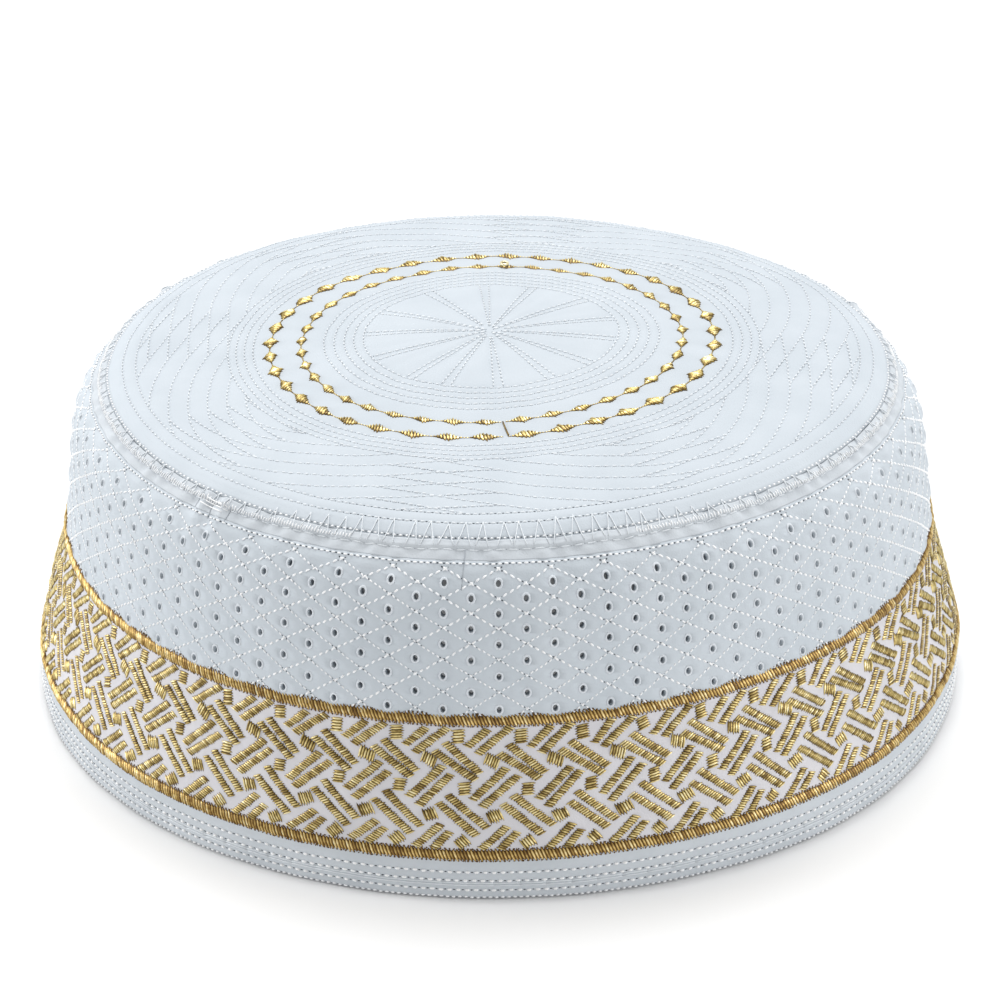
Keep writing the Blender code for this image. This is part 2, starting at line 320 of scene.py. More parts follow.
def bound_rim():
    """The bound edge of an eyelet: a round rim of unit size, a small circle spun about the middle."""
    bm = bmesh.new()
    bmesh.ops.create_circle(bm, segments=5, radius=0.115)
    bmesh.ops.rotate(bm, verts=bm.verts, matrix=Matrix.Rotation(math.pi / 2, 3, "X"))
    bmesh.ops.translate(bm, verts=bm.verts, vec=(0.385, 0.0, 0.0))
    bmesh.ops.spin(bm, geom=bm.verts[:] + bm.edges[:], cent=(0, 0, 0), axis=(0, 0, 1),
                   angle=math.tau, steps=12, use_merge=True)
    bmesh.ops.remove_doubles(bm, verts=bm.verts, dist=1e-4)
    bm.verts.index_update()
    return taken(bm)


print("corners: bead %d, needle hole %d, loose thread %d, rim %d"
      % tuple(len(shape()[0]) for shape in (bead, dimple, loose_thread, bound_rim)))


# %% Lay many copies
def level(turn, run):
    """Cloth without relief."""
    return 0.0 * turn


def lay_copies(name, shape, places, material, over=level):
    """Join copies of a shape. Columns of places: turn, run, lift, heading, length, width, height."""
    corners, faces = shape
    turn, run, lift, heading, length, width, height = np.asarray(places, float).T[:, :, None]
    forward = corners[None, :, 0] * length
    side = corners[None, :, 1] * width
    across = forward * np.cos(heading) - side * np.sin(heading)
    down = forward * np.sin(heading) + side * np.cos(heading)
    turns = turn + across / radius_at(run)
    runs = run + down
    spots = on_cap(turns, runs, lift + over(turns, runs) + corners[None, :, 2] * height)
    steps = (np.arange(len(places)) * len(corners))[:, None, None]
    numbered = np.where(faces[None] < 0, -1, faces[None] + steps).reshape(-1, faces.shape[1])
    mesh = bpy.data.meshes.new(name)
    joined = [[i for i in face if i >= 0] for face in numbered.tolist()]
    mesh.from_pydata(spots.reshape(-1, 3), [], joined)
    bm = bmesh.new()
    bm.from_mesh(mesh)
    bmesh.ops.recalc_face_normals(bm, faces=bm.faces)
    bm.to_mesh(mesh)
    bm.free()
    return add_object(name, mesh, material)


# %% Place stitches along a line
HOLE_RISE = 0.20 * MM
HOLE_LIFT = 0.03 * MM
STITCH_LIFT = 0.06 * MM


def stitches_along(turns, runs, pitch, share):
    """Places of running stitches, and of the needle holes between them, along one line."""
    steps = np.hypot(np.diff(turns) * (radius_at(runs[1:]) + radius_at(runs[:-1])) / 2, np.diff(runs))
    gone = np.concatenate([[0.0], np.cumsum(steps)])
    count = max(1, round(gone[-1] / pitch))
    real = gone[-1] / count
    half = real * share / 2

    def place_at(distance):
        return np.interp(distance, gone, turns), np.interp(distance, gone, runs)

    middles = (np.arange(count) + 0.5) * real
    turn, run = place_at(middles)
    turn_before, run_before = place_at(middles - half)
    turn_after, run_after = place_at(middles + half)
    heading = np.arctan2(run_after - run_before, (turn_after - turn_before) * radius_at(run))
    gap_turn, gap_run = place_at(np.arange(count + 1) * real)
    gap_heading = heading[np.clip(np.arange(count + 1), 0, count - 1)]
    return (turn, run, heading, np.full(count, real * share)), (gap_turn, gap_run, gap_heading)


def ring_line(run, steps=240):
    """A line right round the cap at one run."""
    return np.linspace(-math.pi, math.pi, steps + 1), np.full(steps + 1, float(run))


# %% Sew rows of stitches
WANDER = 0.03 * MM


def evenly(turn):
    """The same size all round the cap."""
    return np.ones_like(turn)


def needle_holes(name, places, length, width, material, over=level, opened=evenly):
    """Needle holes where thread enters the cloth, their shade painted as dark cones. Places: arrays of turn,
    run and heading.
    """
    turn, run, heading = places
    size = opened(turn) * MM
    rows = np.stack([turn, run, np.full_like(turn, HOLE_LIFT), heading, length * size, width * size,
                     np.full_like(turn, HOLE_RISE)], axis=-1)
    return lay_copies(name, dimple(), rows, material, over)


def rows_of_stitches(name, lines, look, material, hole_material, over=level, lean=0.0, opened=evenly):
    """Running stitches along many lines.

    Look, in mm except for the share: pitch, thread's share of the pitch, width and height of the thread,
    length and width of the needle hole.
    """
    pitch, share, width, height, hole_length, hole_width = look
    chance = np.random.default_rng(len(lines))
    sewn, pricked = [], []
    for turns, runs in lines:
        (turn, run, heading, length), (gap_turn, gap_run, gap_heading) = stitches_along(
            np.asarray(turns), np.asarray(runs), pitch * MM, share)
        wander = chance.normal(0.0, 1.0, (3, len(turn)))
        sewn.append(np.stack([turn, run + WANDER * wander[0], np.full_like(turn, STITCH_LIFT),
                              heading + lean + 0.05 * wander[1], length * (1.0 + 0.05 * wander[2]),
                              np.full_like(turn, width * MM), np.full_like(turn, height * MM)], axis=-1))
        pricked.append((gap_turn, gap_run, gap_heading))
    holes = [np.concatenate(column) for column in zip(*pricked)]
    return [lay_copies(name + "_stitches", bead(), np.concatenate(sewn), material, over),
            needle_holes(name + "_needle_holes", holes, hole_length, hole_width, hole_material, over, opened)]


# %% [markdown]
# ## Satin stitch
# Satin stitch is thread laid side by side across a narrow bar until the cloth is covered. It could
# be a smooth bar with a striped texture, but gold thread lives from the glint on each single
# thread, which needs real ridges. A thousand round threads would be far too heavy. So a bar is
# one strip whose cross-sections are by turns high and wide, on a thread, then low and narrow, in
# the crease beside it. How bright each corner is goes with it as a value named shine, which the
# gold material reads as painted light: a painted highlight on each thread and painted shade in the
# creases and along the edges.

# %% Cross-sections of satin
ACROSS = np.array([-1.0, -0.60, 0.0, 0.60, 1.0])
BULGE = np.array([-0.12, 0.68, 1.0, 0.68, -0.12])
# Painted light across a thread: painted shade at both edges, where it goes into the cloth, and a painted
# highlight in the middle.
EDGE_SHINE = np.array([0.0, 0.85, 1.0, 0.85, 0.0])
CREASE_REACH = 0.62
CREASE_RISE = 0.28
CHANCE = np.random.default_rng(11)


def satin_sections(threads):
    """Reach to both sides, rise and shine of each cross-section: creases, with a thread between each two."""
    count = 2 * threads + 1
    thread = np.arange(count) % 2 == 1
    left = np.where(thread, CHANCE.uniform(0.82, 1.12, count), CREASE_REACH)
    right = np.where(thread, CHANCE.uniform(0.82, 1.12, count), CREASE_REACH)
    reach = np.where(ACROSS[None, :] < 0, left[:, None], right[:, None]) * ACROSS[None, :]
    rise = np.where(thread, CHANCE.uniform(0.85, 1.10, count), CREASE_RISE)
    # Painted light along the strip: a painted highlight on each thread, some threads darker at random, and
    # painted shade in the creases.
    shine = np.where(thread, CHANCE.uniform(0.42, 1.0, count), CHANCE.uniform(0.0, 0.10, count))
    return reach, rise[:, None] * BULGE[None, :], shine[:, None] * EDGE_SHINE[None, :]


# %% Bars and rings of satin
START_DIP = -0.3


def satin_strip(start, end, width, pitch, height, slant):
    """One straight satin bar between two (turn, run) ends."""
    (turn_a, run_a), (turn_b, run_b) = start, end
    radius = float(radius_at((run_a + run_b) / 2))
    go = np.array([(turn_b - turn_a) * radius, run_b - run_a])
    length = float(np.hypot(*go))
    go = go / length
    threads = max(3, round(length / pitch))
    reach, rise, shine = satin_sections(threads)
    rise[0] = rise[-1] = START_DIP
    side = reach * width / 2
    along = np.linspace(0.0, length, 2 * threads + 1)[:, None] + side * slant
    across = along * go[0] - side * go[1]
    down = along * go[1] + side * go[0]
    return turn_a + across / radius, run_a + down, rise * height, shine


def satin_ring(run, width, pitch, height, slant):
    """A satin border right round the cap."""
    radius = float(radius_at(run))
    threads = round(math.tau * radius / pitch)
    reach, rise, shine = satin_sections(threads)
    reach[-1], rise[-1], shine[-1] = reach[0], rise[0], shine[0]
    side = reach * width / 2
    turn = np.linspace(0.0, math.tau, 2 * threads + 1)[:, None]
    return turn + side * slant / radius, run + side, rise * height, shine


# %% Join the strips
def face_outwards(bm):
    """Turn every face of a sheet away from the inside of the cap."""
    inside = Vector((0.0, 0.0, 0.3 * CAP_HEIGHT))
    away = sum(face.normal.dot(face.calc_center_median() - inside) for face in bm.faces)
    if away < 0:
        bmesh.ops.reverse_faces(bm, faces=bm.faces)
        bm.normal_update()


def satin_mesh(name, strips, material, replaces=()):
    """Join satin strips into one piece. Each starts as a flat grid of cross-sections."""
    bm = bmesh.new()
    layer = bm.verts.layers.float.new("shine")
    for turn, run, lift, shine in strips:
        sections, points = turn.shape
        made = bmesh.ops.create_grid(bm, x_segments=sections - 1, y_segments=points - 1,
                                     size=0.5)["verts"]
        spots = on_cap(turn, run, lift)
        for vertex in made:
            i = round((vertex.co.x + 0.5) * (sections - 1))
            j = round((vertex.co.y + 0.5) * (points - 1))
            vertex.co = spots[i, j]
            vertex[layer] = shine[i, j]
    bmesh.ops.remove_doubles(bm, verts=bm.verts, dist=0.002 * MM)
    bm.normal_update()
    face_outwards(bm)
    mesh = bpy.data.meshes.new(name)
    bm.to_mesh(mesh)
    bm.free()
    return add_object(name, mesh, material, replaces)


# %% [markdown]
# ## White cotton and thread
# White cotton is dull, with a weave so fine that at arm's length it only softens the light.
# Sewing thread is smoother and a little brighter. A photograph of cloth could be laid over it, but
# it would stretch where the cap curves and repeat in view. Two fine noises that read the piece's
# own place do the same work anywhere on it: one raises the fibres, one lets the tone drift. Every
# material here needs them, so they are a node group with named inputs and outputs, built once.

# %% Unevenness of fibres
def fibre_group():
    """Soft unevenness of cloth or thread: a height for bump and a tone for colour."""
    group = bpy.data.node_groups.new("fibres", "ShaderNodeTree")
    for label in ("Fineness", "Patch Scale"):
        group.interface.new_socket(label, in_out="INPUT", socket_type="NodeSocketFloat")
    for label in ("Height", "Tone"):
        group.interface.new_socket(label, in_out="OUTPUT", socket_type="NodeSocketFloat")
    nodes, links = group.nodes, group.links
    given = nodes.new("NodeGroupInput")
    result = nodes.new("NodeGroupOutput")
    where = nodes.new("ShaderNodeTexCoord")
    for scale, output, detail in (("Fineness", "Height", 3.0), ("Patch Scale", "Tone", 2.0)):
        noise = nodes.new("ShaderNodeTexNoise")
        noise.inputs["Detail"].default_value = detail
        links.new(where.outputs["Object"], noise.inputs["Vector"])
        links.new(given.outputs[scale], noise.inputs["Scale"])
        links.new(noise.outputs["Fac"], result.inputs[output])
    return group


FIBRES = fibre_group()


def add_fibres(material, fineness, patch_scale, bump):
    """Place the fibres in a material and let them raise its surface; returns the group node."""
    nodes, links = material.node_tree.nodes, material.node_tree.links
    fibres = nodes.new("ShaderNodeGroup")
    fibres.node_tree = FIBRES
    fibres.inputs["Fineness"].default_value = fineness
    fibres.inputs["Patch Scale"].default_value = patch_scale
    raised = nodes.new("ShaderNodeBump")
    raised.inputs["Strength"].default_value = bump
    raised.inputs["Distance"].default_value = 0.1 * MM
    links.new(fibres.outputs["Height"], raised.inputs["Height"])
    links.new(raised.outputs["Normal"], nodes["Principled BSDF"].inputs["Normal"])
    return fibres


# %% Mix the whites
def white_material(name, light, shade, roughness, fineness, bump):
    """Dull white cloth or thread, whose colour drifts a little between two tones."""
    material = bpy.data.materials.new(name)
    material.use_nodes = True
    nodes, links = material.node_tree.nodes, material.node_tree.links
    shader = nodes["Principled BSDF"]
    shader.inputs["Roughness"].default_value = roughness
    shader.inputs["Specular IOR Level"].default_value = 0.3
    fibres = add_fibres(material, fineness, 90.0, bump)
    drift = nodes.new("ShaderNodeValToRGB")
    drift.color_ramp.elements[0].position = 0.35
    drift.color_ramp.elements[0].color = (*shade, 1.0)
    drift.color_ramp.elements[1].position = 0.65
    drift.color_ramp.elements[1].color = (*light, 1.0)
    links.new(fibres.outputs["Tone"], drift.inputs["Fac"])
    links.new(drift.outputs["Color"], shader.inputs["Base Color"])
    return material


COTTON = white_material("white_cotton_quilt", (0.557, 0.604, 0.648), (0.530, 0.578, 0.622), 0.85,
                        2500.0, 0.6)
TRIM = white_material("white_cotton_fold", (0.575, 0.613, 0.650), (0.540, 0.578, 0.615), 0.85,
                      2500.0, 0.6)
BAND_COTTON = white_material("white_cotton_band", (0.690, 0.680, 0.710), (0.640, 0.632, 0.664), 0.85,
                             2500.0, 0.6)
THREAD = white_material("white_thread", (0.98, 0.98, 0.98), (0.93, 0.94, 0.95), 0.30, 4000.0, 0.5)
SOFT_THREAD = white_material("white_crown_thread", (0.74, 0.775, 0.805), (0.68, 0.715, 0.75), 0.5,
                             4000.0, 0.5)
RIM = white_material("white_eyelet_binding", (0.68, 0.72, 0.76), (0.62, 0.66, 0.70), 0.5, 4000.0, 1.0)
# Painted shade: these three colour the low dark cones that stand for the shade in the needle holes beside the
# stitches.
HOLE_SHADE = white_material("needle_hole_painted_shade", (0.095, 0.105, 0.120), (0.060, 0.068, 0.080), 0.9,
                       2500.0, 0.0)
SOFT_HOLE_SHADE = white_material("needle_hole_soft_painted_shade", (0.24, 0.265, 0.295), (0.19, 0.21, 0.235), 0.9,
                            2500.0, 0.0)
GOLD_HOLE_SHADE = white_material("needle_hole_gold_painted_shade", (0.145, 0.082, 0.034), (0.085, 0.048, 0.020), 0.9,
                            2500.0, 0.0)
# Painted shade: a grey for thin rods laid along the folds of the tucks, standing for the shade in each
# crease.
TUCK_SHADE = white_material("crease_shade", (0.40, 0.435, 0.47), (0.36, 0.39, 0.425), 0.9, 2500.0, 0.0)
print("materials so far:", len(bpy.data.materials))

# %% [markdown]
# ## Gold thread
# Gold embroidery thread is a thin metal foil wound round a core. Each thread mirrors in one narrow
# bright line and goes brown where it dips between its neighbours. A fully metallic material would
# need a room to mirror, and in this white one it would only turn pale. So the metal is mixed
# half with a plain colour, and that colour carries painted light: it runs from painted brown shade
# to a painted highlight with the shine that the satin strips carry. The borders are worked a tone
# deeper than the bars of the band.

# %% Spin the gold
# Columns: shine, colour.
# In both tables, low shine is painted shade and high shine a painted highlight.
BAR_TONES = (
    (0.00, (0.028, 0.016, 0.003)),
    (0.24, (0.19, 0.115, 0.024)),
    (0.55, (0.78, 0.61, 0.22)),
    (1.00, (1.00, 0.95, 0.68)),
)
BORDER_TONES = (
    (0.00, (0.028, 0.013, 0.002)),
    (0.26, (0.21, 0.105, 0.018)),
    (0.58, (0.76, 0.53, 0.17)),
    (1.00, (1.00, 0.92, 0.60)),
)


def gold_material(name, tones):
    """Gold foil thread: a painted highlight on the ridge of each thread, painted brown shade in the crease
    beside it.
    """
    material = bpy.data.materials.new(name)
    material.use_nodes = True
    nodes, links = material.node_tree.nodes, material.node_tree.links
    shader = nodes["Principled BSDF"]
    shader.inputs["Metallic"].default_value = 0.5
    shader.inputs["Roughness"].default_value = 0.32
    fibres = add_fibres(material, 3000.0, 1100.0, 0.8)
    shine = nodes.new("ShaderNodeAttribute")
    shine.attribute_name = "shine"
    speckle = nodes.new("ShaderNodeMapRange")
    speckle.inputs["From Min"].default_value = 0.3
    speckle.inputs["From Max"].default_value = 0.7
    speckle.inputs["To Min"].default_value = 0.70
    speckle.inputs["To Max"].default_value = 1.35
    glint = nodes.new("ShaderNodeMath")
    glint.operation = "MULTIPLY"
    depth = nodes.new("ShaderNodeValToRGB")
    elements = depth.color_ramp.elements
    for position, colour in tones[1:-1]:
        elements.new(position).color = (*colour, 1.0)
    for element, (position, colour) in ((elements[0], tones[0]), (elements[-1], tones[-1])):
        element.position = position
        element.color = (*colour, 1.0)
    links.new(fibres.outputs["Tone"], speckle.inputs["Value"])
    links.new(shine.outputs["Fac"], glint.inputs[0])
    links.new(speckle.outputs["Result"], glint.inputs[1])
    links.new(glint.outputs["Value"], depth.inputs["Fac"])
    links.new(depth.outputs["Color"], shader.inputs["Base Color"])
    return material


GOLD = gold_material("gold_satin", BAR_TONES)
BORDER_GOLD = gold_material("gold_satin_border", BORDER_TONES)
print("spun", GOLD.name, "and", BORDER_GOLD.name)

# %% [markdown]
# ## The crown
# The crown is two layers of cotton with wadding between, stitched through from the centre out: a
# star of double spokes, rings of running stitch, and a field of lines that swing in and out four
# times round the cap. Each sewn line pulls the cloth down into a shallow groove. The grooves could
# be sculpted or painted as a height map. Since every line has a simple rule, the distance to the
# nearest line is worked out at each corner of the sheet instead, and the same rules then place
# the stitches, so that thread and groove can't part.

# %% Plan the star, the rings and the waves
SPOKE_TURNS = np.radians((-157, -129, -110, -86, -61, -38, -11, 12, 38, 69, 93, 120, 150, 174))
SPOKE_LENGTH = 24.5 * MM
INNER_RINGS = np.array((25.0, 26.9, 28.8, 30.8, 32.8)) * MM
OUTER_RINGS = np.array((46.9, 48.7, 50.4, 52.0)) * MM
RIM_RINGS = np.array((70.8, 73.4)) * MM
ALL_RINGS = np.concatenate([INNER_RINGS, OUTER_RINGS, RIM_RINGS])
WAVES = 4
HALF_WAVE = math.pi / WAVES
WAVE_PEAK = math.radians(-99.2)
WAVE_RISE = 17.0 * MM
WAVE_SPACING = 4.1 * MM
WAVE_OVERLAP = HALF_WAVE * WAVE_SPACING / WAVE_RISE
WAVE_LINES = range(-4, 5)
print("quilting: %d spokes, %d rings, %d waves" % (len(SPOKE_TURNS), len(ALL_RINGS), WAVES))


def wave_radius(away):
    """How far a wave line has swung out at an angle away from its peak, eased in and out at its ends."""
    slope = WAVE_RISE / HALF_WAVE
    ease = WAVE_OVERLAP
    start = slope * (away + ease) ** 2 / (4 * ease)
    finish = WAVE_RISE - slope * (HALF_WAVE - away + ease) ** 2 / (4 * ease)
    return np.where(away < ease, start, np.where(away > HALF_WAVE - ease, finish, slope * away))


def wave_paths():
    """Slanting quilting lines, as arrays of turn and run, kept between the rings and the rim."""
    paths = []
    away = np.linspace(-WAVE_OVERLAP, HALF_WAVE + WAVE_OVERLAP, 60)
    for wave in range(WAVES):
        peak = WAVE_PEAK + wave * math.tau / WAVES
        for step in WAVE_LINES:
            radius = OUTER_RINGS[-1] + step * WAVE_SPACING + wave_radius(away)
            keep = (radius > OUTER_RINGS[-1]) & (radius < RIM_RINGS[0])
            if keep.sum() > 3:
                paths += [(peak + way * away[keep], run_at_radius(radius[keep])) for way in (-1, 1)]
    return paths


def spoke_paths():
    """Two rows for each spoke, which start by turns nearer and farther out and part slowly."""
    paths = []
    for number, middle in enumerate(SPOKE_TURNS):
        radius = np.linspace((0.9 + 0.7 * (number % 4)) * MM, SPOKE_LENGTH, 20)
        apart = np.interp(radius, (0.0, SPOKE_LENGTH), (0.05 * MM, 0.95 * MM))
        paths += [(middle + way * apart / radius, run_at_radius(radius)) for way in (-1, 1)]
    return paths


# %% Lift the crown's edge at the seam
SEAM_FRONT = math.radians(-90.0)


def overlock_slip(turn):
    """How far the overlock has rolled over the edge: 0 at the front, 1 along the sides and the back."""
    away = np.abs((turn - SEAM_FRONT + math.pi) % math.tau - math.pi)
    return np.clip((away - 0.28) / 0.40, 0.0, 1.0)


def pulled_open(turn):
    """Size of the needle holes by the seam: wide open at the front, drawn nearly shut along the sides."""
    return 1.0 - 0.65 * overlock_slip(turn)


def edge_rise(turn, run):
    """How far the seam lifts the crown's edge, most where the overlock has rolled over it."""
    by_the_seam = np.clip((run - SEAM_RUN) / (1.5 * MM) + 1.0, 0.0, 1.0)
    return (0.14 + 0.20 * overlock_slip(turn)) * MM * by_the_seam ** 2


# %% Press the quilting into the crown
GROOVE_DEPTH = 0.16 * MM
RING_GROOVE = 0.50 * MM
SPOKE_GROOVE = 1.4 * MM
WAVE_GROOVE = 0.9 * MM


def groove(distance, width):
    """How deep a sewn line pulls the cloth, by distance from it: 1 on the line, 0 away from it."""
    return np.exp(-(distance / width) ** 2)


def crown_relief(turn, run):
    """Height of the crown's quilting: shallow grooves along the sewn lines, and a lifted edge."""
    radius = radius_at(run)
    down = np.zeros_like(radius + turn)
    for ring in ALL_RINGS:
        down = np.maximum(down, groove(radius - ring, RING_GROOVE))
    off = np.min([np.abs((turn - spoke + math.pi) % math.tau - math.pi) for spoke in SPOKE_TURNS], axis=0)
    down = np.maximum(down, np.where(radius < SPOKE_LENGTH, groove(off * radius, SPOKE_GROOVE), 0.0))
    away = np.abs((turn - WAVE_PEAK + HALF_WAVE) % (2 * HALF_WAVE) - HALF_WAVE)
    place = (radius - OUTER_RINGS[-1] - wave_radius(away)) / WAVE_SPACING
    to_wave = np.abs(place - np.round(place)) * WAVE_SPACING
    field = (radius > OUTER_RINGS[-1]) & (radius < RIM_RINGS[0])
    down = np.maximum(down, np.where(field, groove(to_wave, WAVE_GROOVE), 0.0))
    return edge_rise(turn, run) - GROOVE_DEPTH * down


RING_ROWS = run_at_radius(np.concatenate([ALL_RINGS - 0.5 * MM, ALL_RINGS, ALL_RINGS + 0.5 * MM]))
CROWN_ROWS = np.unique(np.concatenate([np.linspace(0.0, SEAM_RUN, 70), RING_ROWS]))
crown = cloth_sheet("crown_quilt", CROWN_ROWS, 280, crown_relief, CLOTH_THICKNESS, COTTON,
                    ["crown"])

# %% Sew the crown
CROWN_LOOK = (1.55, 0.66, 0.50, 0.44, 0.42, 0.34)
STAR_LOOK = (1.40, 0.68, 0.50, 0.42, 0.36, 0.28)
RIM_LOOK = (1.45, 0.60, 0.46, 0.42, 0.80, 0.54)
crown_rings = [ring_line(run) for run in run_at_radius(ALL_RINGS[:-2])]
rim_rings = [ring_line(run) for run in run_at_radius(RIM_RINGS)]
crown_sewing = rows_of_stitches("crown_ring", crown_rings, CROWN_LOOK, SOFT_THREAD, SOFT_HOLE_SHADE,
                                crown_relief)
crown_sewing += rows_of_stitches("crown_rim", rim_rings, RIM_LOOK, SOFT_THREAD, HOLE_SHADE, crown_relief,
                                 opened=pulled_open)
crown_sewing += rows_of_stitches("crown_wave", wave_paths(), CROWN_LOOK, SOFT_THREAD, SOFT_HOLE_SHADE,
                                 crown_relief)
crown_sewing += rows_of_stitches("crown_star", spoke_paths(), STAR_LOOK, SOFT_THREAD, SOFT_HOLE_SHADE,
                                 crown_relief)

# %% [markdown]
# ## The gold chains
# Two rings of gold diamonds are worked in satin stitch: the threads grow longer towards the middle
# of each diamond and shorter again, and a single thread carries on to the next one. Each diamond
# could be a piece of its own, set round by an array, but then the thread between them would need
# a second kind of piece. One satin strip whose width swells and shrinks makes both. The rings
# start and end at the same place, where one thread jumps from ring to ring.

# %% Work the chains
OUTER_CHAIN_RADIUS = 43.5 * MM
INNER_CHAIN_RADIUS = 37.3 * MM
DIAMONDS = 39
THREADS_PER_DIAMOND = 11
CHAIN_START = math.radians(-86.0)
CHAIN_OPENING = math.radians(1.2)
SINGLE_THREAD = 0.17 * MM
SINGLE_HEIGHT = 0.20 * MM
DIAMOND_SHARE = 0.84
CHAIN_SLANT = 0.3


def chain_strip(radius, width, height, slip_forward):
    """One satin strip round the crown, as wide as the diamonds are at each place."""
    threads = DIAMONDS * THREADS_PER_DIAMOND
    reach, rise, shine = satin_sections(threads)
    share = np.linspace(0.0, 1.0, 2 * threads + 1)[:, None]
    turn = CHAIN_START + CHAIN_OPENING / 2 + share * (math.tau - CHAIN_OPENING)
    from_middle = np.abs((share * DIAMONDS) % 1.0 - 0.5) * 2.0
    shape = np.clip(1.0 - from_middle / DIAMOND_SHARE, 0.0, 1.0)
    side = reach * np.maximum(width / 2 * shape, SINGLE_THREAD)
    lift = rise * np.maximum(height * np.sqrt(shape), SINGLE_HEIGHT)
    run = run_at_radius(radius) - slip_forward * np.sin(turn)
    return turn + side * CHAIN_SLANT / radius, run + side, lift, shine


outer_strip = chain_strip(OUTER_CHAIN_RADIUS, 3.7 * MM, 0.8 * MM, 0.5 * MM)
outer_chain = satin_mesh("gold_chain_outer", [outer_strip], GOLD, ["crown_chain_outer"])
inner_strip = chain_strip(INNER_CHAIN_RADIUS, 2.9 * MM, 0.7 * MM, 0.8 * MM)
inner_chain = satin_mesh("gold_chain_inner", [inner_strip], GOLD, ["crown_chain_inner"])

# %% [markdown]
# ## The crown seam
# Crown and side are joined by a folded seam. The crown's edge is overlocked with a thread that
# goes up and down like a row of tents. At the front the tents lie open on the crown, and along the
# sides they have rolled over the edge. The fold below stands a little proud and puckers, and here
# and there it is caught in a small tuck. The puckers could come out of a simulation that draws
# the seam tight, but they would then fall where they like. Waves of two sizes that fade away from
# the fold put them in the seam, and a short table puts each tuck in its place.

# %% Fold the seam strip
FOLD_RUN = SEAM_RUN + 1.65 * MM
TOP_STITCH_RUN = SEAM_RUN + 4.4 * MM
PANEL_START = SEAM_RUN + 4.05 * MM
TENTS = 142

# Columns: turn in degrees, height in mm, half width in mm.
TUCKS = (
    (-94.4, 0.40, 1.0),
    (-129.9, 0.80, 0.9),
    (-133.5, 0.70, 1.1),
    (-57.0, 0.40, 1.4),
    (-24.0, 0.50, 1.3),
    (20.0, 0.50, 1.3),
    (65.0, 0.50, 1.3),
    (110.0, 0.50, 1.3),
    (150.0, 0.50, 1.3),
)


def tucked(turn, run):
    """Slight gathers and small folds where the cloth is caught, gone below the first eyelets."""
    stands = 0.26 * MM * np.sin(23.0 * turn) * np.sin(57.0 * turn + 1.0)
    for middle, height, half_width in TUCKS:
        across = ((turn - math.radians(middle) + math.pi) % math.tau - math.pi) * CROWN_RADIUS
        stands = stands + height * MM * np.exp(-(across / (half_width * MM)) ** 2)
    return stands * np.clip((SEAM_RUN + 13.0 * MM - run) / (9.0 * MM), 0.0, 1.0)


def seam_relief(turn, run):
    """The thick fold with its rolled edge, the step under it, its puckers and its tucks."""
    folded = 0.5 - 0.5 * np.tanh((run - FOLD_RUN) / (0.22 * MM))
    rolled = np.exp(-((run - FOLD_RUN + 0.3 * MM) / (0.35 * MM)) ** 2)
    pucker = np.sin(turn * TENTS) * np.exp(-((run - FOLD_RUN - 0.4 * MM) / (1.4 * MM)) ** 2)
    loose_fade = np.exp(-((run - FOLD_RUN - 1.2 * MM) / (1.1 * MM)) ** 2)
    loose = np.sin(turn * 31.0) * np.sin(turn * 83.0) * loose_fade
    ripple = 0.14 * MM * pucker + 0.34 * MM * loose
    return 0.30 * MM * folded + 0.15 * MM * rolled + ripple + tucked(turn, run)


SEAM_ROWS = np.linspace(SEAM_RUN + CLOTH_GAP, PANEL_START - 0.01 * MM, 15)
seam = cloth_sheet("crown_seam_fold", SEAM_ROWS, 720, seam_relief, CLOTH_THICKNESS, TRIM,
                   ["crown_seam"])

# %% [markdown]
# ## The overlock and the seam's stitches
# An overlock is one long thread that runs up and down over a raw edge and binds it. A single bevelled
# curve would do for it, if it lay free. Here every leg has to follow the fold that it crosses, so
# each leg is a short thread of its own, cut in four so that it bends. Along the sides the binding
# shows as well, as short upright ticks. A sewer's hand is never quite steady, so peaks, feet and
# leans vary a little.

# %% Plan the overlock
TICKS = 6 * TENTS
OVERLOCK_THREAD = 0.22 * MM
TICK_HEIGHT = 0.26 * MM
BINDING_FROM = 0.15


def overlock_ends(turn):
    """Runs of the upper and the lower end of the overlock's legs."""
    slip = overlock_slip(turn)
    top = float(run_at_radius(RIM_RINGS[-1])) * (1.0 - slip) + (SEAM_RUN - 0.2 * MM) * slip
    foot = SEAM_RUN + (1.4 + 0.7 * slip) * MM
    return top, foot


def tent_threads():
    """The overlock thread: two legs of a tent, again and again, never quite alike."""
    chance = np.random.default_rng(TENTS)
    legs = []
    for tent in range(TENTS):
        peak = (tent + chance.normal(0.0, 0.09)) / TENTS * math.tau
        top, foot = overlock_ends(peak)
        top += chance.normal(0.0, 0.18) * MM
        for way in (-1, 1):
            across = way * (1.20 - 0.50 * float(overlock_slip(peak)) + chance.normal(0.0, 0.14)) * MM
            legs.append((peak + across / CROWN_RADIUS / 2, (top + foot) / 2, 0.10 * MM,
                         math.atan2(foot - top, across), math.hypot(foot - top, across),
                         OVERLOCK_THREAD, OVERLOCK_THREAD))
    return legs


def tick_threads():
    """Short upright stitches, close together, which bind the lower edge of the overlock."""
    chance = np.random.default_rng(TICKS)
    ticks = []
    for turn in np.linspace(0.0, math.tau, TICKS, endpoint=False):
        foot = overlock_ends(turn)[1]
        length = chance.uniform(0.7, 1.5) * MM
        if overlock_slip(turn) < BINDING_FROM:
            continue
        ticks.append((turn, foot - length / 2, 0.08 * MM, math.pi / 2 + chance.normal(0.0, 0.15), length,
                      OVERLOCK_THREAD, TICK_HEIGHT))
    return ticks


def over_seam(turn, run):
    """Relief where the overlock lies: the crown's edge, then the fold."""
    on_fold = seam_relief(turn, run) * np.clip((run - SEAM_RUN + 0.6 * MM) / (0.8 * MM), 0.0, 1.0)
    return np.maximum(edge_rise(turn, run), on_fold)


